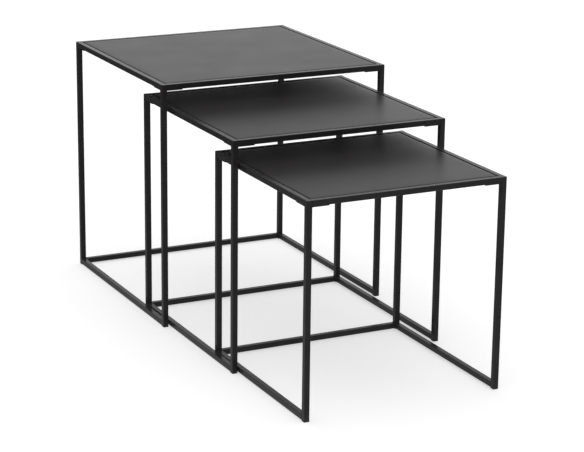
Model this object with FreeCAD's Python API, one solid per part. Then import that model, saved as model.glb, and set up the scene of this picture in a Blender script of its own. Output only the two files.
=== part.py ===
"""Set of three nesting side tables in square steel tube, drawn half pulled out.

Millimetres, +Z up, -Y the open front that the smaller tables come out of, +X to the right.
The origin is on the floor, under the middle of the box that holds all three tables as they stand.
"""
import FreeCAD
import Part

import math
import os

# Large table: outside of its frame, from the floor to the rail tops.
LARGE_WIDTH = 550.0
LARGE_DEPTH = 530.0
LARGE_HEIGHT = 555.0

# Room around a table where it stands inside the next larger one.
SIDE_ROOM = 13.0
HEAD_ROOM = 38.0
BACK_ROOM = 38.0

# How the set stands: each smaller table's front ahead of the larger one's, and the room left on its left side.
MEDIUM_PULLED_OUT = 334.0
MEDIUM_LEFT_ROOM = 4.0
SMALL_PULLED_OUT = 308.0
SMALL_LEFT_ROOM = 2.0

# Square steel tube of all frames.
TUBE = 12.0
TUBE_WALL = 1.2
TUBE_CORNER = 1.0

# Plates that close the legs' top ends, let into the bore and ground flush.
END_PLATE_THICKNESS = 1.5

# Plastic glides pressed into the legs' lower ends.
GLIDE_HEAD = 2.0
GLIDE_EDGE = 0.8
GLIDE_PLUG_LENGTH = 12.0
GLIDE_PLUG_TAPER = 1.5
GLIDE_PLUG_CLEARANCE = 0.15

# Tabletop: a shallow pan of sheet steel, folded down all round, with a tab inside each corner.
SHEET = 1.2
FOLD_RADIUS = 1.2
TOP_RECESS = 0.3
TOP_GAP = 3.0
TAB_LENGTH = 26.0
TAB_CORNER_CUT = 17.0

# Corner plates welded under the rails, which the tabletop sits on and is screwed to.
PLATE_THICKNESS = 2.0
PLATE_ARM = 37.0
PLATE_INSET = 1.0
PLATE_ARM_END = 16.0

# M4 button-head screws and the nuts welded on the tabs.
SCREW_RADIUS = 2.0
SCREW_LENGTH = 8.0
SCREW_HOLE_CLEARANCE = 0.25
THREAD_CLEARANCE = 0.03
SCREW_HEAD_RADIUS = 3.8
SCREW_HEAD_HEIGHT = 2.2
SCREW_HEAD_ROUND = 1.2
SOCKET_ACROSS_FLATS = 2.5
SOCKET_DEPTH = 1.3
SCREW_FROM_TAB_EDGE = 12.0
NUT_ACROSS_FLATS = 7.0
NUT_HEIGHT = 3.2

# Each smaller table follows from the larger one, the tube and the room between them.
MEDIUM_WIDTH = LARGE_WIDTH - 2 * (TUBE + SIDE_ROOM)
MEDIUM_DEPTH = LARGE_DEPTH - TUBE - BACK_ROOM
MEDIUM_HEIGHT = LARGE_HEIGHT - TUBE - HEAD_ROOM
SMALL_WIDTH = MEDIUM_WIDTH - 2 * (TUBE + SIDE_ROOM)
SMALL_DEPTH = MEDIUM_DEPTH - TUBE - BACK_ROOM
SMALL_HEIGHT = MEDIUM_HEIGHT - TUBE - HEAD_ROOM

BORE = TUBE - 2 * TUBE_WALL
PAN_HEIGHT = TUBE - TOP_RECESS
PAN_CORNER = TUBE + TOP_GAP
SCREW_AT = PAN_CORNER + SCREW_FROM_TAB_EDGE

X_AXIS = FreeCAD.Vector(1, 0, 0)
Y_AXIS = FreeCAD.Vector(0, 1, 0)
Z_AXIS = FreeCAD.Vector(0, 0, 1)
TABLE_CORNERS = ("front_left", "front_right", "back_right", "back_left")


def box(size_x, size_y, size_z, x=0.0, y=0.0, z=0.0):
    """A box with its lowest corner at x, y, z."""
    return Part.makeBox(size_x, size_y, size_z, FreeCAD.Vector(x, y, z))


def edges_along(shape, axis):
    """The straight edges of a shape that run along an axis."""
    found = []
    for edge in shape.Edges:
        run = edge.Vertexes[-1].Point.sub(edge.Vertexes[0].Point)
        if run.Length > 0 and abs(run.normalize().dot(axis)) > 0.999:
            found.append(edge)
    return found


def edges_at_height(shape, height):
    """The edges of a shape that lie flat at one height."""
    return [
        edge
        for edge in shape.Edges
        if abs(edge.BoundBox.ZMin - height) < 1e-6 and abs(edge.BoundBox.ZMax - height) < 1e-6
    ]


def hexagon_prism(across_flats, height):
    """A hexagon prism standing on the XY plane about the Z axis."""
    radius = across_flats / math.sqrt(3.0)
    turns = [math.radians(60.0 * step) for step in range(7)]
    points = [FreeCAD.Vector(radius * math.cos(turn), radius * math.sin(turn), 0) for turn in turns]
    return Part.Face(Part.makePolygon(points)).extrude(FreeCAD.Vector(0, 0, height))


def flat_plate(outline, thickness):
    """A plate on the XY plane from its outline's corners."""
    points = [FreeCAD.Vector(u, v, 0) for u, v in outline + outline[:1]]
    return Part.Face(Part.makePolygon(points)).extrude(FreeCAD.Vector(0, 0, thickness))


def square_tube(length, axis, x, y, z):
    """A length of the square tube along an axis, its lowest corner at x, y, z."""
    sizes = [length if axis == one else TUBE for one in (X_AXIS, Y_AXIS, Z_AXIS)]
    outside = box(*sizes, x, y, z)
    outside = outside.makeFillet(TUBE_CORNER, edges_along(outside, axis))
    bore_sizes = [length if axis == one else BORE for one in (X_AXIS, Y_AXIS, Z_AXIS)]
    shift = [0.0 if axis == one else TUBE_WALL for one in (X_AXIS, Y_AXIS, Z_AXIS)]
    bore = box(*bore_sizes, x + shift[0], y + shift[1], z + shift[2])
    return outside.cut(bore)


def end_plate():
    """The plate in a leg's top end, in corner coordinates with its underside at zero height."""
    return box(BORE, BORE, END_PLATE_THICKNESS, TUBE_WALL, TUBE_WALL)


def foot_glide():
    """A glide in corner coordinates: a square head on the floor and a tapered plug up the bore."""
    head = box(TUBE, TUBE, GLIDE_HEAD)
    head = head.makeFillet(TUBE_CORNER, edges_along(head, Z_AXIS))
    head = head.makeFillet(GLIDE_EDGE, edges_at_height(head, 0.0))
    plug_width = BORE - 2 * GLIDE_PLUG_CLEARANCE
    plug_start = TUBE_WALL + GLIDE_PLUG_CLEARANCE
    plug = box(plug_width, plug_width, GLIDE_PLUG_LENGTH, plug_start, plug_start, GLIDE_HEAD)
    plug = plug.makeChamfer(GLIDE_PLUG_TAPER, edges_at_height(plug, GLIDE_HEAD + GLIDE_PLUG_LENGTH))
    return head.fuse(plug).removeSplitter()


def corner_plate():
    """The plate welded under two rails, notched round the leg, in corner coordinates."""
    far = TUBE + PLATE_ARM
    short = TUBE + PLATE_ARM_END
    outline = [
        (TUBE, PLATE_INSET),
        (far, PLATE_INSET),
        (far, short),
        (short, far),
        (PLATE_INSET, far),
        (PLATE_INSET, TUBE),
        (TUBE, TUBE),
    ]
    hole = Part.makeCylinder(SCREW_RADIUS + SCREW_HOLE_CLEARANCE, PLATE_THICKNESS)
    hole.translate(FreeCAD.Vector(SCREW_AT, SCREW_AT, 0))
    return flat_plate(outline, PLATE_THICKNESS).cut(hole)


def top_screw():
    """A button-head screw in corner coordinates, head down, its bearing face at zero height."""
    head = Part.makeCylinder(SCREW_HEAD_RADIUS, SCREW_HEAD_HEIGHT, FreeCAD.Vector(0, 0, -SCREW_HEAD_HEIGHT))
    head = head.makeFillet(SCREW_HEAD_ROUND, edges_at_height(head, -SCREW_HEAD_HEIGHT))
    socket = hexagon_prism(SOCKET_ACROSS_FLATS, SOCKET_DEPTH)
    socket.translate(FreeCAD.Vector(0, 0, -SCREW_HEAD_HEIGHT))
    screw = head.cut(socket).fuse(Part.makeCylinder(SCREW_RADIUS, SCREW_LENGTH))
    screw.translate(FreeCAD.Vector(SCREW_AT, SCREW_AT, 0))
    return screw


def weld_nut():
    """The nut on a tab, in corner coordinates with its underside at zero height."""
    nut = hexagon_prism(NUT_ACROSS_FLATS, NUT_HEIGHT)
    nut = nut.cut(Part.makeCylinder(SCREW_RADIUS + THREAD_CLEARANCE, NUT_HEIGHT))
    nut.translate(FreeCAD.Vector(SCREW_AT, SCREW_AT, 0))
    return nut


def tabletop_tab():
    """The tab inside one corner of the tabletop, in corner coordinates."""
    near = PAN_CORNER + SHEET / 2
    far = PAN_CORNER + TAB_LENGTH
    cut = far - TAB_CORNER_CUT
    outline = [(near, near), (far, near), (far, cut), (cut, far), (near, far)]
    hole = Part.makeCylinder(SCREW_RADIUS + SCREW_HOLE_CLEARANCE, SHEET)
    hole.translate(FreeCAD.Vector(SCREW_AT, SCREW_AT, 0))
    return flat_plate(outline, SHEET).cut(hole)


class Table:
    """One table of the set, drawn with its front on the XZ plane and moved to its place at the end."""

    def __init__(self, name, width, depth, height, place):
        self.name = name
        self.width = width
        self.depth = depth
        self.height = height
        self.place = place
        self.nodes = {}

    def add(self, name, shape):
        """Keeps a finished piece under the table's name, in its place in the set."""
        piece = shape.copy()
        piece.translate(self.place)
        self.nodes[f"{self.name}_{name}"] = piece

    def at_corner(self, shape, corner, height):
        """A corner piece turned into one corner; it is the same across the corner's diagonal."""
        turns = TABLE_CORNERS.index(corner)
        placed = shape.copy()
        placed.rotate(FreeCAD.Vector(0, 0, 0), Z_AXIS, 90.0 * turns)
        right = corner.endswith("right")
        back = corner.startswith("back")
        corner_x = self.width / 2 if right else -self.width / 2
        placed.translate(FreeCAD.Vector(corner_x, self.depth if back else 0.0, height))
        return placed

    def at_all_corners(self, shape, height):
        """The same corner piece in all four corners, as one group of separate solids."""
        return Part.makeCompound([self.at_corner(shape, corner, height) for corner in TABLE_CORNERS])

    def legs(self):
        for corner in TABLE_CORNERS:
            leg = square_tube(self.height - GLIDE_HEAD, Z_AXIS, 0.0, 0.0, 0.0)
            self.add(f"{corner}_leg", self.at_corner(leg, corner, GLIDE_HEAD))
            self.add(f"{corner}_foot_glide", self.at_corner(foot_glide(), corner, 0.0))
        self.add("leg_end_plates", self.at_all_corners(end_plate(), self.height - END_PLATE_THICKNESS))

    def rails(self):
        across = self.width - 2 * TUBE
        along = self.depth - 2 * TUBE
        left = -self.width / 2
        right = self.width / 2 - TUBE
        back = self.depth - TUBE
        top = self.height - TUBE
        self.add("front_top_rail", square_tube(across, X_AXIS, left + TUBE, 0.0, top))
        self.add("back_top_rail", square_tube(across, X_AXIS, left + TUBE, back, top))
        self.add("left_top_rail", square_tube(along, Y_AXIS, left, TUBE, top))
        self.add("right_top_rail", square_tube(along, Y_AXIS, right, TUBE, top))
        self.add("left_floor_runner", square_tube(along, Y_AXIS, left, TUBE, GLIDE_HEAD))
        self.add("right_floor_runner", square_tube(along, Y_AXIS, right, TUBE, GLIDE_HEAD))
        self.add("back_floor_rail", square_tube(across, X_AXIS, left + TUBE, back, GLIDE_HEAD))

    def tabletop(self):
        """The folded pan: its sheet, the folds round its edge and the four tabs, all one piece."""
        pan_x = self.width - 2 * PAN_CORNER
        pan_y = self.depth - 2 * PAN_CORNER
        low = self.height - TUBE
        outside = box(pan_x, pan_y, PAN_HEIGHT, -pan_x / 2, PAN_CORNER, low)
        outside = outside.makeFillet(FOLD_RADIUS, edges_along(outside, Z_AXIS))
        outside = outside.makeFillet(FOLD_RADIUS, edges_at_height(outside, low + PAN_HEIGHT))
        inside_x = pan_x - 2 * SHEET
        inside_y = pan_y - 2 * SHEET
        inside = box(inside_x, inside_y, PAN_HEIGHT - SHEET, -inside_x / 2, PAN_CORNER + SHEET, low)
        pan = outside.cut(inside)
        for corner in TABLE_CORNERS:
            pan = pan.fuse(self.at_corner(tabletop_tab(), corner, low))
        self.add("tabletop", pan.removeSplitter())

    def tabletop_fixings(self):
        """The plates under the corners, and the screws and nuts that hold the tabletop on them."""
        plate_low = self.height - TUBE - PLATE_THICKNESS
        self.add("corner_plates", self.at_all_corners(corner_plate(), plate_low))
        self.add("tabletop_screws", self.at_all_corners(top_screw(), plate_low))
        self.add("tabletop_weld_nuts", self.at_all_corners(weld_nut(), self.height - TUBE + SHEET))

    def build(self):
        self.legs()
        self.rails()
        self.tabletop()
        self.tabletop_fixings()
        return self.nodes


# The large table's back and the small table's front are the ends of the set.
LARGE_FRONT = (MEDIUM_PULLED_OUT + SMALL_PULLED_OUT - LARGE_DEPTH) / 2
MEDIUM_FRONT = LARGE_FRONT - MEDIUM_PULLED_OUT
SMALL_FRONT = MEDIUM_FRONT - SMALL_PULLED_OUT
MEDIUM_X = MEDIUM_LEFT_ROOM - SIDE_ROOM
SMALL_X = MEDIUM_X + SMALL_LEFT_ROOM - SIDE_ROOM

TABLES = (
    Table("large", LARGE_WIDTH, LARGE_DEPTH, LARGE_HEIGHT, FreeCAD.Vector(0, LARGE_FRONT, 0)),
    Table("medium", MEDIUM_WIDTH, MEDIUM_DEPTH, MEDIUM_HEIGHT, FreeCAD.Vector(MEDIUM_X, MEDIUM_FRONT, 0)),
    Table("small", SMALL_WIDTH, SMALL_DEPTH, SMALL_HEIGHT, FreeCAD.Vector(SMALL_X, SMALL_FRONT, 0)),
)

os.makedirs("parts", exist_ok=True)
for table in TABLES:
    for node, shape in table.build().items():
        if not shape.isValid():
            raise ValueError(f"{node} is not a valid solid")
        shape.exportStep(f"parts/{node}.step")
        box_of = shape.BoundBox
        print(
            f"{node:34s} solids {len(shape.Solids)}  volume {shape.Volume:10.1f}"
            f"  z {box_of.ZMin:7.2f} to {box_of.ZMax:7.2f}"
        )
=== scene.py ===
"""Three nesting side tables in black powder-coated square steel tube, finished round the CAD frame.

Metres, +Z up, -Y the open fronts. Every piece is placed from the boxes of the CAD nodes it stands for.
"""

import math

import bmesh
import bpy
from mathutils import Matrix, Vector


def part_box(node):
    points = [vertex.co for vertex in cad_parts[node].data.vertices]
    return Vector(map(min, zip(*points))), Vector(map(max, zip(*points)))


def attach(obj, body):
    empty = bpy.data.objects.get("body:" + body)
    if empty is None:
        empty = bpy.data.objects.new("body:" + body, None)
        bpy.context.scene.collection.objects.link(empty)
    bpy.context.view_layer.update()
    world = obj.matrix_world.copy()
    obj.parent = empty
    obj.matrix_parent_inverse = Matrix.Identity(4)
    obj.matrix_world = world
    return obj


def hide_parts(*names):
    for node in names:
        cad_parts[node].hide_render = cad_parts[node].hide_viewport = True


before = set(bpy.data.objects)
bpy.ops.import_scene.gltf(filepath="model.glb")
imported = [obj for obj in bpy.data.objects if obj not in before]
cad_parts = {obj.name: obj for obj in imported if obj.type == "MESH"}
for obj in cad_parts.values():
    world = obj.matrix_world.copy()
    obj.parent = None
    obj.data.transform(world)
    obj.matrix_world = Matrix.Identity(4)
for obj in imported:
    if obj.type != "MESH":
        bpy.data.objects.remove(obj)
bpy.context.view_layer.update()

MM = 0.001

# Square steel tube and the way its ends are dressed.
TUBE = 12.0 * MM
TUBE_WALL = 1.2 * MM
TUBE_CORNER = 1.0 * MM
TUBE_CORNER_STEPS = 6
TUBE_END_EASE = 0.18 * MM
TUBE_MERGE_REACH = 0.01 * MM
EASE_STEPS = 2
EASE_ABOVE = math.radians(40)
# How far the middle of a rounded corner lies in from the flats, as a part of the corner's radius.
ARC_MIDDLE_INSET = 0.3

# Weld beads in the corners between tubes, under the corner plates and along the tabletop's tabs.
BEAD_RADIUS = 1.55 * MM
PLATE_BEAD_RADIUS = 0.9 * MM
TAB_BEAD_RADIUS = 0.8 * MM
BEAD_RIPPLE_PITCH = 1.1 * MM
BEAD_RIPPLE = 0.07
BEAD_STEP = 0.3 * MM
BEAD_SIDES = 12
BEAD_INSET = 0.7 * MM
BEAD_NOISE_SCALE = 400.0
BEAD_UNEVEN = 4.0
BEAD_TAPER_POWER = 8.0
BEAD_TAPER_START = 1.02
STITCH_LENGTH = 12.0 * MM

# Plates that close the legs' tops.
CAP_THICKNESS = 1.5 * MM
CAP_EASE = 0.15 * MM

# Corner plates and the tabletop's tabs.
PLATE_THICKNESS = 2.0 * MM
PLATE_ARM = 37.0 * MM
PLATE_INSET = 1.0 * MM
PLATE_ARM_END = 16.0 * MM
PLATE_EASE = 0.3 * MM
PLATE_EDGE_MARK = 0.7
PLATE_MERGE_REACH = 0.004 * MM
TAB_LENGTH = 26.0 * MM
TAB_CORNER_CUT = 17.0 * MM
TAB_EASE = 0.15 * MM
HOLE_RADIUS = 2.25 * MM
HOLE_POINTS = 28

# Tabletop pan.
SHEET = 1.2 * MM
FOLD_RADIUS = 1.2 * MM
FOLD_STEPS = 6
INNER_FOLD_RADIUS = 0.4 * MM
INNER_FOLD_STEPS = 3
LEAST_RADIUS = 1e-7
RIM_EASE = 0.2 * MM
PAN_CORNER = 15.0 * MM
PAN_SQUARES = 40
PAN_CORNER_STEPS = 6
SHEET_WAVE = 0.05 * MM

# Screws, nuts and foot glides.
SCREW_AT = 27.0 * MM
SCREW_RADIUS = 2.0 * MM
THREAD_ROOT_RADIUS = 1.65 * MM
THREAD_PITCH = 0.7 * MM
THREAD_START = 0.25 * MM
SCREW_LENGTH = 8.0 * MM
HEAD_RADIUS = 3.8 * MM
HEAD_HEIGHT = 2.2 * MM
HEAD_FLAT_RADIUS = 1.9 * MM
HEAD_BAND = 0.5 * MM
HEAD_DOME_STEPS = 7
SOCKET_ACROSS_FLATS = 2.5 * MM
SOCKET_DEPTH = 1.3 * MM
SOCKET_FLOOR_RADIUS = 1.3 * MM
SOCKET_CORNER_RADIUS = 1.5 * MM
NUT_ACROSS_FLATS = 7.0 * MM
NUT_HEIGHT = 3.2 * MM
NUT_BORE = 2.03 * MM
NUT_CHAMFER = 0.45 * MM
NUT_BORE_CHAMFER = 0.35 * MM
TURNED_POINTS = 36
GLIDE_HEAD = 2.0 * MM
GLIDE_EDGE = 0.8 * MM
GLIDE_EDGE_STEPS = 4
GLIDE_PLUG_LENGTH = 12.0 * MM
GLIDE_PLUG_HALF = 4.65 * MM
GLIDE_PLUG_TAPER = 1.5 * MM
RIBS = 5
RIB_PITCH = 1.9 * MM
RIB_START = 0.4 * MM
RIB_DEPTH = 0.45 * MM

# Doubles closer than this are merged in the pieces made point by point.
MESH_MERGE_REACH = 0.002 * MM

TABLES = ("large", "medium", "small")
CORNERS = ("front_left", "front_right", "back_right", "back_left")
RAILS = (
    "front_top_rail", "back_top_rail", "left_top_rail", "right_top_rail",
    "left_floor_runner", "right_floor_runner", "back_floor_rail",
)


# ---------------------------------------------------------------- node building

# Sockets of the Mix node's colour side, which share their names with its other sides.
MIX_FIRST_COLOUR, MIX_SECOND_COLOUR, MIX_COLOUR_OUT = 6, 7, 2


def link_or_set(tree, sockets, inputs):
    """Gives each named input a link from a socket, or else a plain value."""
    for name, value in inputs.items():
        if isinstance(value, bpy.types.NodeSocket):
            tree.links.new(value, sockets[name])
        else:
            sockets[name].default_value = value


def add_node(tree, kind, inputs=None, **settings):
    """A node with its settings and its inputs."""
    made = tree.nodes.new(kind)
    for name, value in settings.items():
        setattr(made, name, value)
    link_or_set(tree, made.inputs, inputs or {})
    return made


def calc(tree, operation, *terms, clamp=False):
    """The result of one Math node; each term is a socket or a number."""
    made = add_node(tree, "ShaderNodeMath", dict(enumerate(terms)), operation=operation, use_clamp=clamp)
    return made.outputs[0]


def remap(tree, value, low, high, to_low=0.0, to_high=1.0):
    """A value between low and high brought to the range from to_low to to_high, and held at its ends."""
    return add_node(tree, "ShaderNodeMapRange", {
        "Value": value, "From Min": low, "From Max": high, "To Min": to_low, "To Max": to_high,
    }).outputs[0]


def split(tree, vector):
    """The X, Y and Z of a vector."""
    return add_node(tree, "ShaderNodeSeparateXYZ", {0: vector}).outputs


def noise(tree, place, scale, detail, roughness):
    """Cloudy noise, about 0.5 in the mean."""
    return add_node(tree, "ShaderNodeTexNoise", {
        "Vector": place, "Scale": scale, "Detail": detail, "Roughness": roughness,
    }).outputs["Fac"]


def grey(value):
    """A neutral colour."""
    return (value, value, value, 1.0)


def blend(tree, factor, first, second):
    """Two colours mixed by a factor."""
    mix = add_node(tree, "ShaderNodeMix", {
        "Factor": factor, MIX_FIRST_COLOUR: first, MIX_SECOND_COLOUR: second,
    }, data_type="RGBA")
    return mix.outputs[MIX_COLOUR_OUT]


def between(tree, factor, first, second):
    """Two values mixed by a factor."""
    mix = add_node(tree, "ShaderNodeMix", {"Factor": factor, "A": first, "B": second}, data_type="FLOAT")
    return mix.outputs[0]


def new_tree(name, kind, inputs, outputs):
    """An empty node group with its named sockets: (name, socket kind, default or None)."""
    tree = bpy.data.node_groups.new(name, kind)
    for label, socket_kind, value in inputs:
        socket = tree.interface.new_socket(label, in_out="INPUT", socket_type=socket_kind)
        if value is not None:
            socket.default_value = value
    for label, socket_kind in outputs:
        tree.interface.new_socket(label, in_out="OUTPUT", socket_type=socket_kind)
    return tree, tree.nodes.new("NodeGroupInput").outputs, tree.nodes.new("NodeGroupOutput").inputs


SHAPE_OUT = [("Shape", "NodeSocketGeometry")]
SHAPE_IN = ("Start", "NodeSocketGeometry", None)
FINISH_IN = ("Finish", "NodeSocketMaterial", None)
SKIN_IN = [("Colour", "NodeSocketColor", grey(0.01)), ("Roughness", "NodeSocketFloat", 0.35)]
SKIN_OUT = [("Colour", "NodeSocketColor"), ("Roughness", "NodeSocketFloat")]


def end_shape(tree, shape, finish, out):
    """Ends a shape tree: smooth shading, instances made real and the finish set."""
    smooth = add_node(tree, "GeometryNodeSetShadeSmooth", {"Geometry": shape}, domain="FACE")
    real = add_node(tree, "GeometryNodeRealizeInstances", {"Geometry": smooth.outputs[0]})
    done = add_node(tree, "GeometryNodeSetMaterial", {"Geometry": real.outputs[0], "Material": finish})
    tree.links.new(done.outputs[0], out["Shape"])


def square_tube_tree():
    """A length of square tube with rounded corners and its bore, and its corners marked for scuffs and a
    painted highlight.
    """
    tree, given, out = new_tree("square_tube", "GeometryNodeTree", [
        SHAPE_IN,
        ("Length", "NodeSocketFloat", 0.1),
        ("Width", "NodeSocketFloat", TUBE),
        ("Wall", "NodeSocketFloat", TUBE_WALL),
        ("Corner Radius", "NodeSocketFloat", TUBE_CORNER),
        ("Corner Steps", "NodeSocketInt", TUBE_CORNER_STEPS),
        ("Place", "NodeSocketVector", None),
        ("Turn", "NodeSocketVector", None),
        FINISH_IN,
    ], SHAPE_OUT)

    def square(width):
        made = add_node(tree, "GeometryNodeCurvePrimitiveQuadrilateral", {"Width": width, "Height": width})
        return made.outputs[0]

    outside = add_node(tree, "GeometryNodeFilletCurve", {
        "Curve": square(given["Width"]), "Radius": given["Corner Radius"], "Count": given["Corner Steps"],
    }, mode="POLY")
    bore = square(calc(tree, "SUBTRACT", given["Width"], calc(tree, "MULTIPLY", given["Wall"], 2.0)))
    both = add_node(tree, "GeometryNodeJoinGeometry", {"Geometry": outside.outputs[0]})
    tree.links.new(bore, both.inputs[0])
    ring = add_node(tree, "GeometryNodeFillCurve", {"Curve": both.outputs[0]}, mode="NGONS").outputs[0]
    run = add_node(tree, "ShaderNodeCombineXYZ", {"Z": given["Length"]})
    drawn = add_node(tree, "GeometryNodeExtrudeMesh", {
        "Mesh": ring, "Offset": run.outputs[0], "Offset Scale": 1.0, "Individual": False,
    })
    closed = add_node(tree, "GeometryNodeJoinGeometry", {"Geometry": drawn.outputs[0]})
    tree.links.new(add_node(tree, "GeometryNodeFlipFaces", {"Mesh": ring}).outputs[0], closed.inputs[0])
    merged = add_node(tree, "GeometryNodeMergeByDistance", {
        "Geometry": closed.outputs[0], "Distance": TUBE_MERGE_REACH,
    })
    # On the flats the smaller of |x| and |y| stops short of the corner arc; on the arc it rises.
    place = split(tree, add_node(tree, "GeometryNodeInputPosition").outputs[0])
    half = calc(tree, "MULTIPLY", given["Width"], 0.5)
    nearer = calc(tree, "MINIMUM", *[calc(tree, "ABSOLUTE", place[axis]) for axis in "XY"])
    arc_start = calc(tree, "SUBTRACT", half, given["Corner Radius"])
    inset = calc(tree, "MULTIPLY", given["Corner Radius"], ARC_MIDDLE_INSET)
    arc_middle = calc(tree, "SUBTRACT", half, inset)
    # The corner arcs get the mark that lightens them: scuffs and a painted highlight.
    marked = add_node(tree, "GeometryNodeStoreNamedAttribute", {
        "Geometry": merged.outputs[0], "Name": "edge", "Value": remap(tree, nearer, arc_start, arc_middle),
    }, data_type="FLOAT", domain="POINT")
    turned = add_node(tree, "GeometryNodeTransform", {
        "Geometry": marked.outputs[0],
        "Translation": given["Place"],
        "Rotation": add_node(tree, "FunctionNodeEulerToRotation", {0: given["Turn"]}).outputs[0],
    })
    end_shape(tree, turned.outputs[0], given["Finish"], out)
    return tree


def weld_bead_tree():
    """Rounded beads along the edges of the start mesh, with ripples and closed, tapered ends."""
    tree, given, out = new_tree("weld_beads", "GeometryNodeTree", [
        SHAPE_IN,
        ("Radius", "NodeSocketFloat", BEAD_RADIUS),
        ("Ripple", "NodeSocketFloat", BEAD_RIPPLE),
        ("Ripple Pitch", "NodeSocketFloat", BEAD_RIPPLE_PITCH),
        ("Step", "NodeSocketFloat", BEAD_STEP),
        ("Sides", "NodeSocketInt", BEAD_SIDES),
        ("Seed", "NodeSocketFloat", 1.0),
        FINISH_IN,
    ], SHAPE_OUT)
    lines = add_node(tree, "GeometryNodeMeshToCurve", {"Mesh": given["Start"]})
    fine = add_node(tree, "GeometryNodeResampleCurve", {
        "Curve": lines.outputs[0], "Length": given["Step"],
    }, mode="LENGTH")
    along = add_node(tree, "GeometryNodeSplineParameter")
    run = calc(tree, "MULTIPLY", along.outputs["Length"], math.tau)
    ripple = calc(tree, "SINE", calc(tree, "DIVIDE", run, given["Ripple Pitch"]))
    uneven = add_node(tree, "ShaderNodeTexNoise", {
        "Vector": add_node(tree, "GeometryNodeInputPosition").outputs[0],
        "W": given["Seed"], "Scale": BEAD_NOISE_SCALE, "Detail": 1.0,
    }, noise_dimensions="4D")
    bumps = calc(tree, "MULTIPLY_ADD", uneven.outputs[0], BEAD_UNEVEN, -BEAD_UNEVEN / 2)
    swell = calc(tree, "ADD", ripple, bumps)
    # The bead keeps its width over most of its run and narrows over a short way at both ends.
    from_middle = calc(tree, "MULTIPLY_ADD", along.outputs["Factor"], 2.0, -1.0)
    lost = calc(tree, "POWER", calc(tree, "ABSOLUTE", from_middle), BEAD_TAPER_POWER)
    taper = calc(tree, "SQRT", calc(tree, "SUBTRACT", BEAD_TAPER_START, lost))
    width = calc(tree, "MULTIPLY", calc(tree, "MULTIPLY_ADD", swell, given["Ripple"], 1.0), taper)
    profile = add_node(tree, "GeometryNodeCurvePrimitiveCircle", {
        "Resolution": given["Sides"], "Radius": given["Radius"],
    })
    bead = add_node(tree, "GeometryNodeCurveToMesh", {
        "Curve": fine.outputs[0], "Profile Curve": profile.outputs[0], "Scale": width, "Fill Caps": True,
    })
    end_shape(tree, bead.outputs[0], given["Finish"], out)
    return tree


def corner_set_tree():
    """One shape set at each point of the start mesh, turned about Z by the point's own turn."""
    tree, given, out = new_tree("set_at_corners", "GeometryNodeTree", [
        SHAPE_IN,
        ("Pattern", "NodeSocketObject", None),
        FINISH_IN,
    ], SHAPE_OUT)
    pattern = add_node(tree, "GeometryNodeObjectInfo", {"Object": given["Pattern"]})
    turn = add_node(tree, "GeometryNodeInputNamedAttribute", {"Name": "turn"}, data_type="FLOAT")
    heading = add_node(tree, "ShaderNodeCombineXYZ", {"Z": turn.outputs["Attribute"]})
    placed = add_node(tree, "GeometryNodeInstanceOnPoints", {
        "Points": given["Start"],
        "Instance": pattern.outputs["Geometry"],
        "Rotation": add_node(tree, "FunctionNodeEulerToRotation", {0: heading.outputs[0]}).outputs[0],
    })
    end_shape(tree, placed.outputs[0], given["Finish"], out)
    return tree


def link_object(name, data):
    """A new object in the scene."""
    made = bpy.data.objects.new(name, data)
    bpy.context.scene.collection.objects.link(made)
    return made


def made_by(tree, name, finish, start=None, ease=0.0, **sizes):
    """A plain mesh piece at the origin, made by a shape tree and eased where an ease is given."""
    maker = link_object(name + "_maker", start or bpy.data.meshes.new(name + "_start"))
    modifier = maker.modifiers.new("shape", "NODES")
    modifier.node_group = tree
    given = {"Finish": finish, **{label.replace("_", " ").title(): value for label, value in sizes.items()}}
    for socket in tree.interface.items_tree:
        if socket.in_out == "INPUT" and socket.name in given:
            modifier[socket.identifier] = given[socket.name]
    if ease:
        bevel = maker.modifiers.new("ease", "BEVEL")
        bevel.width = ease
        bevel.segments = EASE_STEPS
        bevel.limit_method = "ANGLE"
        bevel.angle_limit = EASE_ABOVE
    maker.modifiers.new("flats", "WEIGHTED_NORMAL")
    seen = bpy.context.evaluated_depsgraph_get()
    mesh = bpy.data.meshes.new_from_object(
        maker.evaluated_get(seen), preserve_all_data_layers=True, depsgraph=seen)
    bpy.data.objects.remove(maker)
    mesh.name = name
    return link_object(name, mesh)


# ---------------------------------------------------------------- finishes

# Powder coat: where its cloudiness shows, and how far clouds and grain move roughness and relief.
CLOUD_RANGE = (0.32, 0.68)
CLOUD_ROUGHNESS = 3.0
GRAIN_MEAN = 0.4
GRAIN_ROUGHNESS = 0.06
GRAIN_HEIGHT = 0.25

# Edge marks, scuffed coat and a painted highlight together: the part of its noise that shows as patches, and
# the amount left between them.
WEAR_AND_HIGHLIGHT_RANGE = (0.35, 0.7)
WEAR_AND_HIGHLIGHT_LEAST = 0.25

# Dust: how far a face has to look up, the fine motes, and the slow drift that thins them.
DUST_SLOPES = (0.4, 1.0)
MOTE_SCALE = 900.0
MOTE_RANGE = (0.4, 0.75)
DRIFT_SCALE = 14.0
DRIFT_RANGE = (0.3, 0.7)
DRIFT_LEAST = 0.3
DUST_GAIN = 2.0
DUST_ROUGHNESS = 0.9


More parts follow.
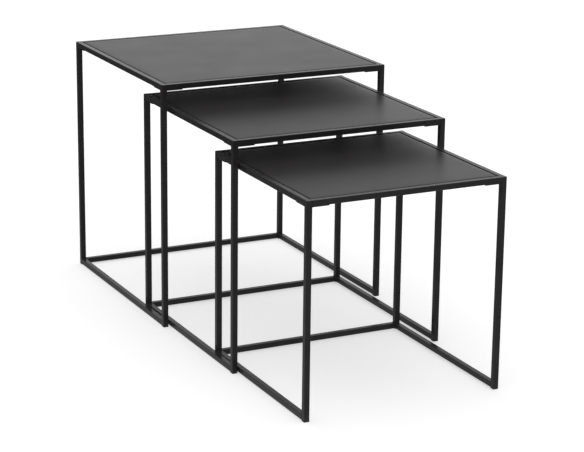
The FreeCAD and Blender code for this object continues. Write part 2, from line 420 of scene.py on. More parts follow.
def coat_tree():
    """Powder coat: fine orange peel, a slow cloudiness, and a grain of small flat specks."""
    tree, given, out = new_tree("powder_coat", "ShaderNodeTree", [
        ("Colour", "NodeSocketColor", grey(0.01)),
        ("Cloud Colour", "NodeSocketColor", grey(0.02)),
        ("Roughness", "NodeSocketFloat", 0.35),
        ("Roughness Spread", "NodeSocketFloat", 0.08),
        ("Cloud Size", "NodeSocketFloat", 0.08),
        ("Peel Size", "NodeSocketFloat", 0.0012),
        ("Grain Size", "NodeSocketFloat", 0.0004),
    ], [*SKIN_OUT, ("Height", "NodeSocketFloat")])
    place = add_node(tree, "ShaderNodeTexCoord").outputs["Object"]

    def scale(size):
        return calc(tree, "DIVIDE", 1.0, given[size])

    cloud = noise(tree, place, scale("Cloud Size"), 3.0, 0.45)
    peel = noise(tree, place, scale("Peel Size"), 1.0, 0.4)
    grain = add_node(tree, "ShaderNodeTexVoronoi", {
        "Vector": place, "Scale": scale("Grain Size"),
    }, feature="F1").outputs["Distance"]
    tint = blend(tree, remap(tree, cloud, *CLOUD_RANGE), given["Colour"], given["Cloud Colour"])
    spread = calc(tree, "MULTIPLY", calc(tree, "SUBTRACT", cloud, 0.5), given["Roughness Spread"])
    specks = calc(tree, "MULTIPLY", calc(tree, "SUBTRACT", grain, GRAIN_MEAN), GRAIN_ROUGHNESS)
    uneven = calc(tree, "ADD", calc(tree, "MULTIPLY", spread, CLOUD_ROUGHNESS), specks)
    tree.links.new(tint, out["Colour"])
    tree.links.new(calc(tree, "ADD", given["Roughness"], uneven), out["Roughness"])
    tree.links.new(calc(tree, "ADD", peel, calc(tree, "MULTIPLY", grain, GRAIN_HEIGHT)), out["Height"])
    return tree


def edge_wear_and_highlight_tree():
    """Lighter patches on the edges that a piece's edge attribute marks: scuffed coat, and a painted highlight
    along the rounded edges.
    """
    tree, given, out = new_tree("edge_wear_and_highlight", "ShaderNodeTree", [
        *SKIN_IN,
        ("Worn And Highlight Colour", "NodeSocketColor", grey(0.05)),
        ("Worn Roughness", "NodeSocketFloat", 0.25),
        ("Wear And Highlight", "NodeSocketFloat", 0.5),
        ("Patch Size", "NodeSocketFloat", 0.02),
    ], SKIN_OUT)
    place = add_node(tree, "ShaderNodeTexCoord").outputs["Object"]
    edge = add_node(tree, "ShaderNodeAttribute", attribute_name="edge").outputs["Fac"]
    patch = noise(tree, place, calc(tree, "DIVIDE", 1.0, given["Patch Size"]), 4.0, 0.6)
    patchy = remap(tree, patch, *WEAR_AND_HIGHLIGHT_RANGE, WEAR_AND_HIGHLIGHT_LEAST)
    # Marked edges turn lighter: scuffed coat, and a painted highlight on the rounded edges.
    mask = calc(tree, "MULTIPLY", calc(tree, "MULTIPLY", edge, patchy), given["Wear And Highlight"], clamp=True)
    tree.links.new(blend(tree, mask, given["Colour"], given["Worn And Highlight Colour"]), out["Colour"])
    tree.links.new(between(tree, mask, given["Roughness"], given["Worn Roughness"]), out["Roughness"])
    return tree


def floor_dust_tree():
    """Fine dust: thin on faces that look up, and thicker just above the floor."""
    tree, given, out = new_tree("dust", "ShaderNodeTree", [
        *SKIN_IN,
        ("Dust Colour", "NodeSocketColor", (0.3, 0.29, 0.28, 1)),
        ("Dust", "NodeSocketFloat", 0.02),
        ("Floor Dust", "NodeSocketFloat", 0.05),
        ("Floor Reach", "NodeSocketFloat", 0.02),
    ], SKIN_OUT)
    place = add_node(tree, "ShaderNodeTexCoord").outputs["Object"]
    looks_up = split(tree, add_node(tree, "ShaderNodeNewGeometry").outputs["Normal"])["Z"]
    up = remap(tree, looks_up, *DUST_SLOPES)
    low = remap(tree, split(tree, place)["Z"], given["Floor Reach"], 0.0)
    motes = remap(tree, noise(tree, place, MOTE_SCALE, 3.0, 0.7), *MOTE_RANGE)
    drift = remap(tree, noise(tree, place, DRIFT_SCALE, 4.0, 0.6), *DRIFT_RANGE, DRIFT_LEAST)
    patch = calc(tree, "MULTIPLY", motes, drift)
    on_top = calc(tree, "MULTIPLY", up, given["Dust"])
    amount = calc(tree, "ADD", on_top, calc(tree, "MULTIPLY", low, given["Floor Dust"]))
    mask = calc(tree, "MULTIPLY", calc(tree, "MULTIPLY", patch, DUST_GAIN), amount, clamp=True)
    tree.links.new(blend(tree, mask, given["Colour"], given["Dust Colour"]), out["Colour"])
    tree.links.new(between(tree, mask, given["Roughness"], DUST_ROUGHNESS), out["Roughness"])
    return tree


def new_material(name, specular=0.5, ior=1.5, metallic=0.0):
    """A material with its shader's plain values set, and its node tree."""
    material = bpy.data.materials.new(name)
    material.use_nodes = True
    tree = material.node_tree
    shader = tree.nodes["Principled BSDF"]
    shader.inputs["Specular IOR Level"].default_value = specular
    shader.inputs["IOR"].default_value = ior
    shader.inputs["Metallic"].default_value = metallic
    return material, tree, shader


def place_group(tree, group, inputs):
    """A node group placed in a material."""
    made = tree.nodes.new("ShaderNodeGroup")
    made.node_tree = group
    link_or_set(tree, made.inputs, inputs)
    return made.outputs


COAT = coat_tree()
EDGE_WEAR_AND_HIGHLIGHT = edge_wear_and_highlight_tree()
DUST = floor_dust_tree()


def coated_finish(name, coat, wear_and_highlight, dust, bump, ior=1.5, metallic=0.0):
    """A finish built from coat, scuffed edges with a painted highlight, and dust, each with its own values;
    bump is its depth.
    """
    material, tree, shader = new_material(name, ior=ior, metallic=metallic)
    skin = place_group(tree, COAT, coat)
    # The edge group lays scuffs and a painted highlight on the marked edges.
    worn_and_lit = place_group(tree, EDGE_WEAR_AND_HIGHLIGHT, {"Colour": skin["Colour"], "Roughness": skin["Roughness"], **wear_and_highlight})
    dusty = place_group(tree, DUST, {"Colour": worn_and_lit["Colour"], "Roughness": worn_and_lit["Roughness"], **dust})
    relief = add_node(tree, "ShaderNodeBump", {"Height": skin["Height"], "Distance": bump, "Strength": 1.0})
    link_or_set(tree, shader.inputs, {
        "Base Color": dusty["Colour"], "Roughness": dusty["Roughness"], "Normal": relief.outputs[0],
    })
    return material


# Each finish's edge colour lightens its marked edges: scuffed coat and a painted highlight.
frame_coat = coated_finish(
    "frame_powder_coat",
    coat={"Colour": (0.0225, 0.0205, 0.0212, 1.0), "Cloud Colour": (0.027, 0.025, 0.0257, 1.0),
          "Roughness": 0.22, "Roughness Spread": 0.05, "Cloud Size": 0.03,
          "Peel Size": 1.1 * MM, "Grain Size": 0.35 * MM},
    wear_and_highlight={"Worn And Highlight Colour": grey(0.034), "Worn Roughness": 0.28, "Wear And Highlight": 0.7, "Patch Size": 0.03},
    dust={"Dust": 0.03, "Floor Dust": 0.09, "Floor Reach": 0.02},
    bump=0.012 * MM, ior=1.2,
)
tabletop_coat = coated_finish(
    "tabletop_powder_coat",
    coat={"Colour": (0.0178, 0.0158, 0.0168, 1.0), "Cloud Colour": (0.0208, 0.0188, 0.0198, 1.0),
          "Roughness": 0.33, "Roughness Spread": 0.03, "Cloud Size": 0.09,
          "Peel Size": 1.3 * MM, "Grain Size": 0.4 * MM},
    wear_and_highlight={"Worn And Highlight Colour": grey(0.02), "Worn Roughness": 0.34, "Wear And Highlight": 0.6, "Patch Size": 0.03},
    dust={"Dust": 0.02, "Floor Dust": 0.0, "Floor Reach": 0.01},
    bump=0.014 * MM, ior=1.22,
)
glide_nylon = coated_finish(
    "black_nylon",
    coat={"Colour": grey(0.008), "Cloud Colour": grey(0.014), "Roughness": 0.55, "Roughness Spread": 0.1,
          "Cloud Size": 0.006, "Peel Size": 0.5 * MM, "Grain Size": 0.2 * MM},
    wear_and_highlight={"Worn And Highlight Colour": grey(0.06), "Worn Roughness": 0.7, "Wear And Highlight": 0.8, "Patch Size": 0.004},
    dust={"Dust": 0.0, "Floor Dust": 0.3, "Floor Reach": 0.003},
    bump=0.02 * MM,
)
screw_black = coated_finish(
    "blackened_screw_steel",
    coat={"Colour": grey(0.03), "Cloud Colour": grey(0.05), "Roughness": 0.3, "Roughness Spread": 0.1,
          "Cloud Size": 0.003, "Peel Size": 0.4 * MM, "Grain Size": 0.12 * MM},
    wear_and_highlight={"Worn And Highlight Colour": grey(0.35), "Worn Roughness": 0.3, "Wear And Highlight": 0.6, "Patch Size": 0.002},
    dust={"Dust": 0.0, "Floor Dust": 0.0, "Floor Reach": 0.01},
    bump=0.006 * MM, metallic=0.85,
)
nut_zinc = coated_finish(
    "zinc_plated_steel",
    coat={"Colour": (0.60, 0.60, 0.58, 1.0), "Cloud Colour": (0.46, 0.47, 0.48, 1.0),
          "Roughness": 0.32, "Roughness Spread": 0.15, "Cloud Size": 0.002,
          "Peel Size": 0.35 * MM, "Grain Size": 0.15 * MM},
    wear_and_highlight={"Worn And Highlight Colour": (0.72, 0.72, 0.7, 1.0), "Worn Roughness": 0.22, "Wear And Highlight": 0.7, "Patch Size": 0.002},
    dust={"Dust": 0.04, "Floor Dust": 0.0, "Floor Reach": 0.01},
    bump=0.006 * MM, metallic=1.0,
)

FINISHES = {
    "frame_coat": frame_coat,
    "tabletop_coat": tabletop_coat,
    "glide_plastic": glide_nylon,
    "black_screws": screw_black,
    "plated_nuts": nut_zinc,
}


# ---------------------------------------------------------------- shapes

def tidy_mesh(shape, name):
    """A mesh from a bmesh, its doubles merged and its faces turned outwards, shaded smooth."""
    bmesh.ops.remove_doubles(shape, verts=shape.verts, dist=MESH_MERGE_REACH)
    bmesh.ops.recalc_face_normals(shape, faces=shape.faces)
    for face in shape.faces:
        face.smooth = True
    mesh = bpy.data.meshes.new(name)
    shape.to_mesh(mesh)
    shape.free()
    return mesh


def ring_strips(rings, marks, closed=False):
    """A new shape with a strip of faces from each ring of points to the next; each ring has its edge mark."""
    shape = bmesh.new()
    layer = shape.verts.layers.float.new("edge")
    rows = []
    for ring, mark in zip(rings, marks):
        row = [shape.verts.new(point) for point in ring]
        for vert in row:
            vert[layer] = mark
        rows.append(row)
    following = rows[1:] + rows[:1] if closed else rows[1:]
    for low, high in zip(rows, following):
        for step in range(len(low)):
            after = (step + 1) % len(low)
            shape.faces.new((low[step], low[after], high[after], high[step]))
    return shape, rows


def lofted(rings, marks, name):
    """A closed shape through rings of points, capped by a fan at each end."""
    shape, rows = ring_strips(rings, marks)
    for row in (rows[0], rows[-1]):
        middle = shape.verts.new(sum((vert.co for vert in row), Vector()) / len(row))
        for step in range(len(row)):
            shape.faces.new((row[step], row[(step + 1) % len(row)], middle))
    return tidy_mesh(shape, name)


def turned_ring(radius, z, across_flats=None):
    """A ring about Z: round, or a hexagon of the given size, no wider than the radius."""
    points = []
    for step in range(TURNED_POINTS):
        turn = math.tau * step / TURNED_POINTS
        reach = radius
        if across_flats:
            off_flat = (turn + math.pi / 6) % (math.pi / 3) - math.pi / 6
            reach = min(radius, across_flats / 2 / math.cos(off_flat))
        points.append(Vector((SCREW_AT + reach * math.cos(turn), SCREW_AT + reach * math.sin(turn), z)))
    return points


def screw_mesh():
    """A button-head screw in corner coordinates, its head down and its bearing face at zero height."""
    crown = -HEAD_HEIGHT
    rows = [
        (SOCKET_FLOOR_RADIUS, crown + SOCKET_DEPTH, SOCKET_ACROSS_FLATS, 0.0),
        (SOCKET_CORNER_RADIUS, crown + SOCKET_DEPTH - 0.1 * MM, SOCKET_ACROSS_FLATS, 0.0),
        (SOCKET_CORNER_RADIUS, crown + 0.18 * MM, SOCKET_ACROSS_FLATS, 0.4),
        (SOCKET_CORNER_RADIUS + 0.15 * MM, crown + 0.02 * MM, None, 1.0),
    ]
    drop = HEAD_HEIGHT - HEAD_BAND
    for step in range(HEAD_DOME_STEPS + 1):
        turn = math.pi / 2 * step / HEAD_DOME_STEPS
        reach = HEAD_FLAT_RADIUS + (HEAD_RADIUS - HEAD_FLAT_RADIUS) * math.sin(turn)
        rows.append((reach, crown + drop * (1 - math.cos(turn)), None, 0.0))
    rows += [
        (HEAD_RADIUS, -0.2 * MM, None, 0.6),
        (HEAD_RADIUS - 0.12 * MM, 0.0, None, 0.6),
        (SCREW_RADIUS + 0.05 * MM, 0.0, None, 0.0),
    ]
    threads = int((SCREW_LENGTH - 0.9 * MM) / THREAD_PITCH)
    for step in range(threads):
        rows.append((THREAD_ROOT_RADIUS, THREAD_START + step * THREAD_PITCH, None, 0.0))
        rows.append((SCREW_RADIUS, THREAD_START + (step + 0.5) * THREAD_PITCH, None, 0.5))
    rows.append((THREAD_ROOT_RADIUS, SCREW_LENGTH - 0.35 * MM, None, 0.0))
    rows.append((THREAD_ROOT_RADIUS - 0.3 * MM, SCREW_LENGTH, None, 0.3))
    rings = [turned_ring(radius, z, across) for radius, z, across, _ in rows]
    return lofted(rings, [row[3] for row in rows], "top_screw")


def nut_mesh():
    """A hexagon nut with chamfered corners and bore, its underside at zero height."""
    flats = NUT_ACROSS_FLATS
    point = flats / math.sqrt(3.0)
    face = flats / 2 - 0.1 * MM
    shoulder = flats / 2 + 0.05 * MM
    mouth = NUT_BORE + NUT_BORE_CHAMFER
    rows = [
        (face, 0.0, None, 0.3),
        (shoulder, 0.08 * MM, flats, 0.8),
        (point, NUT_CHAMFER, flats, 0.5),
        (point, NUT_HEIGHT - NUT_CHAMFER, flats, 0.5),
        (shoulder, NUT_HEIGHT - 0.08 * MM, flats, 0.8),
        (face, NUT_HEIGHT, None, 0.3),
        (mouth, NUT_HEIGHT, None, 0.6),
        (NUT_BORE, NUT_HEIGHT - NUT_BORE_CHAMFER, None, 0.0),
        (NUT_BORE, NUT_BORE_CHAMFER, None, 0.0),
        (mouth, 0.0, None, 0.6),
    ]
    rings = [turned_ring(radius, z, across) for radius, z, across, _ in rows]
    shape, _ = ring_strips(rings, [row[3] for row in rows], closed=True)
    return tidy_mesh(shape, "weld_nut")


def rounded_square(half_x, half_y, radius, steps, sides, centre):
    """The outline of a rounded rectangle, each side in equal parts and each corner in steps."""
    points = []
    for quarter in range(4):
        turn = math.pi / 2 * quarter
        cos, sin = round(math.cos(turn)), round(math.sin(turn))
        # The side that ends at this corner, then the corner's arc, for the corner at +x +y turned round.
        reach_x, reach_y = (half_x, half_y) if quarter % 2 == 0 else (half_y, half_x)
        spots = []
        for part in range(sides):
            spots.append((reach_x, -(reach_y - radius) + 2 * (reach_y - radius) * part / sides))
        for step in range(steps):
            bend = math.pi / 2 * step / steps
            x = reach_x - radius + radius * math.cos(bend)
            y = reach_y - radius + radius * math.sin(bend)
            spots.append((x, y))
        for x, y in spots:
            points.append(Vector((centre[0] + x * cos - y * sin, centre[1] + x * sin + y * cos, 0.0)))
    return points


def glide_mesh():
    """A foot glide in corner coordinates: a square head with a rounded foot and a ribbed, tapered plug."""
    half = TUBE / 2
    flat = half - GLIDE_EDGE
    core = GLIDE_PLUG_HALF - RIB_DEPTH
    rows = [(flat - 0.6 * MM, 0.0, 0.0), (flat, 0.0, 0.4)]
    for step in range(1, GLIDE_EDGE_STEPS + 1):
        turn = math.pi / 2 * step / GLIDE_EDGE_STEPS
        mark = 1.0 if step < GLIDE_EDGE_STEPS else 0.3
        rows.append((flat + GLIDE_EDGE * math.sin(turn), GLIDE_EDGE * (1 - math.cos(turn)), mark))
    rows += [
        (half, GLIDE_HEAD - 0.12 * MM, 0.2),
        (half - 0.12 * MM, GLIDE_HEAD, 0.2),
        (GLIDE_PLUG_HALF - 0.3 * MM, GLIDE_HEAD, 0.0),
    ]
    for rib in range(RIBS):
        base = GLIDE_HEAD + RIB_START + rib * RIB_PITCH
        rows += [
            (core, base, 0.0),
            (core, base + 0.7 * MM, 0.0),
            (GLIDE_PLUG_HALF, base + 0.9 * MM, 0.0),
            (GLIDE_PLUG_HALF, base + 1.2 * MM, 0.0),
        ]
    top = GLIDE_HEAD + GLIDE_PLUG_LENGTH
    rows += [(core, top - GLIDE_PLUG_TAPER, 0.0), (GLIDE_PLUG_HALF - GLIDE_PLUG_TAPER, top, 0.0)]
    rings = []
    for half_width, z, _ in rows:
        radius = max(min(TUBE_CORNER, half_width - half + TUBE_CORNER), 0.3 * MM)
        ring = rounded_square(half_width, half_width, radius, 5, 2, (half, half))
        rings.append([point + Vector((0, 0, z)) for point in ring])
    return lofted(rings, [row[2] for row in rows], "foot_glide")


def plate_mesh(outline, thickness, ease, name, hole=True):
    """A flat plate with eased edges, from its outline in corner coordinates, its underside at zero height."""
    flat = bpy.data.curves.new(name, "CURVE")
    flat.dimensions = "2D"
    flat.fill_mode = "BOTH"
    flat.bevel_depth = ease
    flat.bevel_resolution = 1
    flat.offset = -ease
    flat.extrude = thickness / 2 - ease
    lines = [outline]
    if hole:
        rim = []
        for step in range(HOLE_POINTS):
            turn = math.tau * step / HOLE_POINTS
            rim.append((SCREW_AT + HOLE_RADIUS * math.cos(turn), SCREW_AT + HOLE_RADIUS * math.sin(turn)))
        lines.append(rim)
    for line in lines:
        spline = flat.splines.new("POLY")
        spline.points.add(len(line) - 1)
        spline.use_cyclic_u = True
        for spot, (u, v) in zip(spline.points, line):
            spot.co = (u, v, 0.0, 1.0)
    holder = link_object(name + "_outline", flat)
    seen = bpy.context.evaluated_depsgraph_get()
    mesh = bpy.data.meshes.new_from_object(holder.evaluated_get(seen), depsgraph=seen)
    bpy.data.objects.remove(holder)
    shape = bmesh.new()
    shape.from_mesh(mesh)
    bmesh.ops.translate(shape, verts=shape.verts, vec=(0, 0, thickness / 2))
    bmesh.ops.remove_doubles(shape, verts=shape.verts, dist=PLATE_MERGE_REACH)
    layer = shape.verts.layers.float.new("edge")
    for vert in shape.verts:
        on_face = min(vert.co.z, thickness - vert.co.z) < ease * 0.2
        vert[layer] = 0.0 if on_face else PLATE_EDGE_MARK
    return tidy_mesh(shape, name)


def corner_plate_mesh():
    """The plate under two rails, notched round the leg."""
    far = TUBE + PLATE_ARM
    short = TUBE + PLATE_ARM_END
    return plate_mesh([
        (TUBE, PLATE_INSET), (far, PLATE_INSET), (far, short), (short, far),
        (PLATE_INSET, far), (PLATE_INSET, TUBE), (TUBE, TUBE),
    ], PLATE_THICKNESS, PLATE_EASE, "corner_plate")


def tab_mesh():
    """The tab inside one corner of the tabletop."""
    near = PAN_CORNER + SHEET
    far = PAN_CORNER + TAB_LENGTH
    cut = far - TAB_CORNER_CUT
    outline = [(near, near), (far, near), (far, cut), (cut, far), (near, far)]
    return plate_mesh(outline, SHEET, TAB_EASE, "tabletop_tab")


def leg_cap_mesh():
    """The plate let into a leg's top end."""
    near = TUBE_WALL
    far = TUBE - TUBE_WALL
    outline = [(near, near), (far, near), (far, far), (near, far)]
    return plate_mesh(outline, CAP_THICKNESS, CAP_EASE, "leg_cap", hole=False)


def sheet_rise(u, v, seed):
    """How far the sheet stands off flat at u, v (-1 to 1 across it): a faint wave that dies at the folds."""
    edge = (1 - u ** 4) * (1 - v ** 4)
    slow = math.cos(2.1 * u + 0.9 * seed) * math.cos(1.7 * v - 0.6 * seed)
    quick = 0.45 * math.sin(4.3 * u + 2.0 * v + seed)
    return SHEET_WAVE * edge * (slow + quick)


def pan_profile(top, rim):
    """The folded edge in section, from the sheet's top round the fold to its underside, as rows of
    inset, corner radius, height and edge mark."""
    rows = []
    for step in range(FOLD_STEPS + 1):
        turn = math.pi / 2 * step / FOLD_STEPS
        out = FOLD_RADIUS * (1 - math.sin(turn))
        # The mark peaks in the middle of the fold, which the edge colour lightens: scuffs and a painted
        # highlight.
        rows.append((out, FOLD_RADIUS - out, top - FOLD_RADIUS * (1 - math.cos(turn)), math.sin(2 * turn)))
    rows += [
        (0.0, FOLD_RADIUS, rim + RIM_EASE, 0.2),
        (RIM_EASE, FOLD_RADIUS - RIM_EASE, rim, 0.5),
        (SHEET - RIM_EASE, INNER_FOLD_RADIUS + RIM_EASE, rim, 0.5),
        (SHEET, INNER_FOLD_RADIUS, rim + RIM_EASE, 0.2),
    ]
    for step in range(INNER_FOLD_STEPS + 1):
        turn = math.pi / 2 * step / INNER_FOLD_STEPS
        inward = INNER_FOLD_RADIUS * (1 - math.cos(turn))
        height = top - SHEET - INNER_FOLD_RADIUS * (1 - math.sin(turn))
        rows.append((SHEET + inward, INNER_FOLD_RADIUS - inward, height, 0.0))
    return rows


def tabletop_mesh(low, high, seed):
    """The folded pan: a faintly wavy sheet, small folds all round, and the sheet's underside."""
    centre = ((low.x + high.x) / 2, (low.y + high.y) / 2)
    half_x, half_y = (high.x - low.x) / 2, (high.y - low.y) / 2
    rows = pan_profile(high.z, low.z)
    rings = []
    for inset, radius, z, _ in rows:
        outline = rounded_square(
            half_x - inset, half_y - inset, max(radius, LEAST_RADIUS), PAN_CORNER_STEPS, PAN_SQUARES, centre)
        rings.append([point + Vector((0, 0, z)) for point in outline])
    shape, _ = ring_strips(rings, [row[3] for row in rows])
    parts = [2 * step / PAN_SQUARES - 1 for step in range(PAN_SQUARES + 1)]
    for z, inset in ((high.z, FOLD_RADIUS), (high.z - SHEET, SHEET + INNER_FOLD_RADIUS)):
        reach_x, reach_y = half_x - inset, half_y - inset
        net = []
        for v in parts:
            line = []
            for u in parts:
                x, y = centre[0] + u * reach_x, centre[1] + v * reach_y
                line.append(shape.verts.new((x, y, z + sheet_rise(u, v, seed))))
            net.append(line)
        for near, far in zip(net, net[1:]):
            for step in range(PAN_SQUARES):
                shape.faces.new((near[step], near[step + 1], far[step + 1], far[step]))
    return tidy_mesh(shape, "tabletop_pan")


# ---------------------------------------------------------------- one table

SQUARE_TUBE = square_tube_tree()
WELD_BEADS = weld_bead_tree()
AT_CORNERS = corner_set_tree()

TURN_TO_AXIS = {"X": (0.0, math.pi / 2, 0.0), "Y": (-math.pi / 2, 0.0, 0.0), "Z": (0.0, 0.0, 0.0)}

patterns = {}
for pattern, mesh in (
    ("corner_plate", corner_plate_mesh()), ("tabletop_tab", tab_mesh()), ("leg_cap", leg_cap_mesh()),
    ("top_screw", screw_mesh()), ("weld_nut", nut_mesh()), ("foot_glide", glide_mesh()),
):
    patterns[pattern] = link_object(pattern + "_pattern", mesh)


class Table:
    """One table of the set: its outside box comes from the legs of the CAD frame."""

    def __init__(self, name, seed):
        self.name = name
        self.body = name + "_table"
        self.seed = seed
        self.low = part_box(name + "_front_left_leg")[0]
        self.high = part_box(name + "_back_right_leg")[1]

    def keep(self, piece, slot, *nodes):
        """Rides a finished piece on the table's body in place of its CAD nodes."""
        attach(piece, self.body)
        if nodes:
            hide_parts(*[f"{self.name}_{node}" for node in nodes])

    def corner_point(self, corner, u, v, z):
        """A point in corner coordinates: u along the side that starts at the corner, v the next side."""
        turns = CORNERS.index(corner)
        x = self.high.x if corner.endswith("right") else self.low.x
        y = self.high.y if corner.startswith("back") else self.low.y
        turn = math.pi / 2 * turns
        cos, sin = round(math.cos(turn)), round(math.sin(turn))
        return Vector((x + u * cos - v * sin, y + u * sin + v * cos, z))

    def at_all_corners(self, z, lines):
        """Lines in corner coordinates, drawn at one height in each of the four corners."""
        return [
            tuple(self.corner_point(corner, *end, z) for end in line)
            for corner in CORNERS for line in lines
        ]

    def tube(self, node):
        """The tube that stands for one leg, rail or runner."""
        low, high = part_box(f"{self.name}_{node}")
        size = high - low
        axis = "XYZ"[max(range(3), key=lambda one: size[one])]
        start = (low + high) / 2
        start["XYZ".index(axis)] = low["XYZ".index(axis)]
        piece = made_by(
            SQUARE_TUBE, f"{self.name}_{node}_tube", frame_coat, ease=TUBE_END_EASE,
            length=max(size), width=TUBE, wall=TUBE_WALL, place=start, turn=TURN_TO_AXIS[axis],
            corner_radius=TUBE_CORNER, corner_steps=TUBE_CORNER_STEPS,
        )
        self.keep(piece, "frame_coat", node)

    def beads(self, name, lines, radius, slot):
        """Weld beads along straight lines given by their ends."""
        mesh = bpy.data.meshes.new(name)
        points = [point for line in lines for point in line]
        mesh.from_pydata(points, [(2 * one, 2 * one + 1) for one in range(len(lines))], [])
        piece = made_by(
            WELD_BEADS, f"{self.name}_{name}", FINISHES[slot], start=mesh, radius=radius, ripple=BEAD_RIPPLE,
            ripple_pitch=BEAD_RIPPLE_PITCH, step=BEAD_STEP, sides=BEAD_SIDES, seed=float(self.seed),
        )
        self.keep(piece, slot)

    def frame_welds(self):
        """Beads where the corner plates, the runners and the back floor rail meet the legs."""
        plate_low = self.high.z - TUBE - PLATE_THICKNESS
        runner_top = self.low.z + TUBE
        plate_start = PLATE_INSET + BEAD_INSET
        lines = []
        for corner in CORNERS:
            def at(u, v, z, corner=corner):
                return self.corner_point(corner, u, v, z)
            lines.append((at(TUBE, plate_start, plate_low), at(TUBE, TUBE, plate_low)))
            lines.append((at(plate_start, TUBE, plate_low), at(TUBE, TUBE, plate_low)))
            if corner.startswith("back"):
                lines.append((at(TUBE, BEAD_INSET, runner_top), at(TUBE, TUBE, runner_top)))
                lines.append((at(BEAD_INSET, TUBE, runner_top), at(TUBE, TUBE, runner_top)))
                lines.append((at(TUBE, TUBE, self.low.z + BEAD_INSET), at(TUBE, TUBE, runner_top)))
            elif corner == "front_left":
                lines.append((at(BEAD_INSET, TUBE, runner_top), at(TUBE - BEAD_INSET, TUBE, runner_top)))
            else:
                lines.append((at(TUBE, BEAD_INSET, runner_top), at(TUBE, TUBE - BEAD_INSET, runner_top)))
        self.beads("frame_welds", lines, BEAD_RADIUS, "frame_coat")

    def plate_welds(self):
        """Stitches between the corner plates and the rails."""
        rail_low = self.high.z - TUBE
        far = TUBE + PLATE_ARM
        plate_start = PLATE_INSET + BEAD_INSET
        stitches = self.at_all_corners(rail_low, [
            ((far - STITCH_LENGTH, TUBE), (far, TUBE)),
            ((far, plate_start), (far, TUBE)),
            ((plate_start, far), (TUBE, far)),
        ])
        self.beads("corner_plate_welds", stitches, PLATE_BEAD_RADIUS, "frame_coat")

    def tab_welds(self):
        """Beads that hold the tabs to the tabletop's folds."""
        low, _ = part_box(self.name + "_tabletop")
        near = PAN_CORNER + SHEET
        far = PAN_CORNER + TAB_LENGTH
        z = low.z + SHEET
        lines = self.at_all_corners(z, [
            ((far - STITCH_LENGTH, near), (far, near)),
            ((near, far - STITCH_LENGTH), (near, far)),
        ])
        self.beads("tab_welds", lines, TAB_BEAD_RADIUS, "tabletop_coat")

    def corner_set(self, name, pattern, z, slot, nodes):
        """The same piece in all four corners, as one mesh."""
        mesh = bpy.data.meshes.new(name)
        mesh.from_pydata([self.corner_point(corner, 0.0, 0.0, z) for corner in CORNERS], [], [])
        turn = mesh.attributes.new("turn", "FLOAT", "POINT")
        turn.data.foreach_set("value", [math.pi / 2 * index for index in range(len(CORNERS))])
        piece = made_by(
            AT_CORNERS, f"{self.name}_{name}", FINISHES[slot], start=mesh, pattern=patterns[pattern],
        )
        self.keep(piece, slot, *nodes)

    def tabletop(self):
        """The folded sheet, in place of the CAD tabletop."""
        low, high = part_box(self.name + "_tabletop")
        mesh = tabletop_mesh(low, high, self.seed)
        mesh.materials.append(tabletop_coat)
        pan = link_object(self.name + "_tabletop_pan", mesh)
        self.keep(pan, "tabletop_coat", "tabletop")

    def build(self):
        """All pieces of the table."""
        for corner in CORNERS:
            self.tube(corner + "_leg")
        for rail in RAILS:
            self.tube(rail)
        self.frame_welds()
        self.plate_welds()
        self.tabletop()
        self.tab_welds()
        top = self.high.z
        rail_low = top - TUBE
        plate_low = rail_low - PLATE_THICKNESS
        self.corner_set("leg_caps", "leg_cap", top - CAP_THICKNESS, "frame_coat", ["leg_end_plates"])
        self.corner_set("corner_plate_set", "corner_plate", plate_low, "frame_coat", ["corner_plates"])
        self.corner_set("tabletop_tabs", "tabletop_tab", rail_low, "tabletop_coat", [])
        self.corner_set("tabletop_screw_set", "top_screw", plate_low, "black_screws", ["tabletop_screws"])
        self.corner_set("weld_nut_set", "weld_nut", rail_low + SHEET, "plated_nuts", ["tabletop_weld_nuts"])
        self.corner_set("foot_glide_set", "foot_glide", 0.0, "glide_plastic",
                        [corner + "_foot_glide" for corner in CORNERS])


for order, table_name in enumerate(TABLES):
    Table(table_name, order + 1).build()

for pattern in patterns.values():
    bpy.data.objects.remove(pattern)


# ---------------------------------------------------------------- floor, light and camera

# The floor, and how its level falls for everything but the camera, by the distance from its brightest spot.
FLOOR_SIZE = 60.0
FLOOR_COLOUR = 0.64
FLOOR_GLOW = 0.54
FLOOR_ROUGHNESS = 0.9
FLOOR_BRIGHTEST = (0.6, -1.0, 0.0)
FLOOR_NEAR = 1.3
FLOOR_FAR = 2.9
FLOOR_NEAR_LEVEL = 0.7
FLOOR_FAR_LEVEL = 0.12

# The room: its level all round, overhead, along the low walls, and at the backdrop that stands back right.
ROOM_LEVEL = 0.30
OVERHEAD_LEVEL = 1.2
OVERHEAD_SPREAD = 3.0
BACKDROP_WAY = (0.56, 0.83)
BACKDROP_SPREAD = 4.0
BACKDROP_HEIGHT = 0.45
BACKDROP_LEVEL = 0.74
WALL_LEVEL = 0.36

LIGHT_PLACE = (-0.4, 0.2, 3.0)
LIGHT_AIM = (0.0, 0.0, 0.3)
LIGHT_SIZE = 2.2
LIGHT_POWER = 3.0

CAMERA_PLACE = (-1.9426, -3.9275, 1.5039)
CAMERA_YAW, CAMERA_PITCH, CAMERA_ROLL = -0.4625, 0.2851, 0.0116
CAMERA_LENS = 125.34


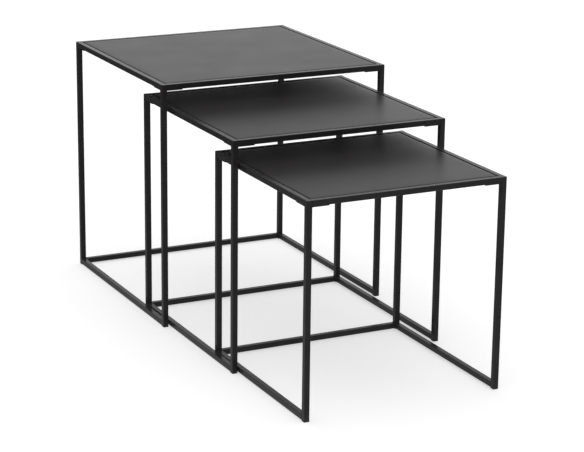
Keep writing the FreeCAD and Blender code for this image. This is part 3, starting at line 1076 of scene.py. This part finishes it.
def pale_floor():
    """A plain pale floor that glows a little; away from the set all but the camera meets it darker."""
    shape = bmesh.new()
    bmesh.ops.create_grid(shape, x_segments=1, y_segments=1, size=FLOOR_SIZE / 2)
    mesh = bpy.data.meshes.new("floor")
    shape.to_mesh(mesh)
    shape.free()
    floor = link_object("floor", mesh)
    material, tree, shader = new_material("pale_floor", specular=0.0)
    place = add_node(tree, "ShaderNodeTexCoord").outputs["Object"]
    away = add_node(tree, "ShaderNodeVectorMath", {
        0: place, 1: FLOOR_BRIGHTEST,
    }, operation="DISTANCE").outputs["Value"]
    far = remap(tree, away, FLOOR_NEAR, FLOOR_FAR, FLOOR_NEAR_LEVEL, FLOOR_FAR_LEVEL)
    level = calc(tree, "MAXIMUM", add_node(tree, "ShaderNodeLightPath").outputs["Is Camera Ray"], far)
    for socket, value in (("Base Color", FLOOR_COLOUR), ("Emission Color", FLOOR_GLOW)):
        shade = calc(tree, "MULTIPLY", level, value)
        colour = add_node(tree, "ShaderNodeCombineColor", {name: shade for name in ("Red", "Green", "Blue")})
        tree.links.new(colour.outputs[0], shader.inputs[socket])
    shader.inputs["Emission Strength"].default_value = 1.0
    shader.inputs["Roughness"].default_value = FLOOR_ROUGHNESS
    mesh.materials.append(material)


def studio_world():
    """A soft room: pale low walls, brightest back right, and light from overhead; white to the camera."""
    world = bpy.data.worlds.new("studio")
    bpy.context.scene.world = world
    world.use_nodes = True
    tree = world.node_tree
    tree.nodes.clear()
    way = split(tree, add_node(tree, "ShaderNodeTexCoord").outputs["Generated"])
    sideways, back = [calc(tree, "MULTIPLY", way[axis], part) for axis, part in zip("XY", BACKDROP_WAY)]
    towards = calc(tree, "MAXIMUM", calc(tree, "ADD", sideways, back), 0.0)
    spread = calc(tree, "POWER", towards, BACKDROP_SPREAD)
    rise = calc(tree, "DIVIDE", way["Z"], BACKDROP_HEIGHT)
    fade = calc(tree, "EXPONENT", calc(tree, "MULTIPLY", calc(tree, "MULTIPLY", rise, rise), -1.0))
    walls = calc(tree, "MULTIPLY_ADD", spread, BACKDROP_LEVEL, WALL_LEVEL)
    above = calc(tree, "POWER", calc(tree, "MAXIMUM", way["Z"], 0.0), OVERHEAD_SPREAD)
    level = calc(tree, "MULTIPLY_ADD", walls, fade, ROOM_LEVEL)
    level = calc(tree, "MULTIPLY_ADD", above, OVERHEAD_LEVEL, level)
    room = add_node(tree, "ShaderNodeBackground", {"Color": grey(1.0), "Strength": level})
    white = add_node(tree, "ShaderNodeBackground", {"Color": grey(1.0), "Strength": 1.0})
    seen = add_node(tree, "ShaderNodeLightPath").outputs["Is Camera Ray"]
    mixed = add_node(tree, "ShaderNodeMixShader", {0: seen, 1: room.outputs[0], 2: white.outputs[0]})
    out = tree.nodes.new("ShaderNodeOutputWorld")
    tree.links.new(mixed.outputs[0], out.inputs["Surface"])


def soft_light():
    """A large square soft light over the set, not seen by the camera."""
    lamp = bpy.data.lights.new("overhead_light", "AREA")
    lamp.shape = "SQUARE"
    lamp.size = LIGHT_SIZE
    lamp.energy = LIGHT_POWER
    made = link_object("overhead_light", lamp)
    made.location = LIGHT_PLACE
    made.rotation_euler = (Vector(LIGHT_AIM) - Vector(LIGHT_PLACE)).to_track_quat("-Z", "Y").to_euler()
    made.visible_camera = False


def front_left_camera():
    """The camera: front left of the set and above it, with a long lens."""
    yaw, pitch, roll = CAMERA_YAW, CAMERA_PITCH, CAMERA_ROLL
    right = Vector((math.cos(yaw), math.sin(yaw), 0))
    ahead = Vector((-math.sin(yaw), math.cos(yaw), 0))
    up = Vector((0, 0, 1))
    look = ahead * math.cos(pitch) - up * math.sin(pitch)
    above = up * math.cos(pitch) + ahead * math.sin(pitch)
    side = right * math.cos(roll) + above * math.sin(roll)
    above = -right * math.sin(roll) + above * math.cos(roll)
    lens = bpy.data.cameras.new("camera")
    lens.lens = CAMERA_LENS
    lens.clip_start = 0.1
    lens.clip_end = 100.0
    camera = link_object("camera", lens)
    camera.matrix_world = Matrix((
        (side.x, above.x, -look.x, CAMERA_PLACE[0]),
        (side.y, above.y, -look.y, CAMERA_PLACE[1]),
        (side.z, above.z, -look.z, CAMERA_PLACE[2]),
        (0, 0, 0, 1),
    ))
    bpy.context.scene.camera = camera


pale_floor()
studio_world()
soft_light()
front_left_camera()
bpy.context.scene.view_settings.view_transform = "Standard"
bpy.context.scene.view_settings.look = "None"
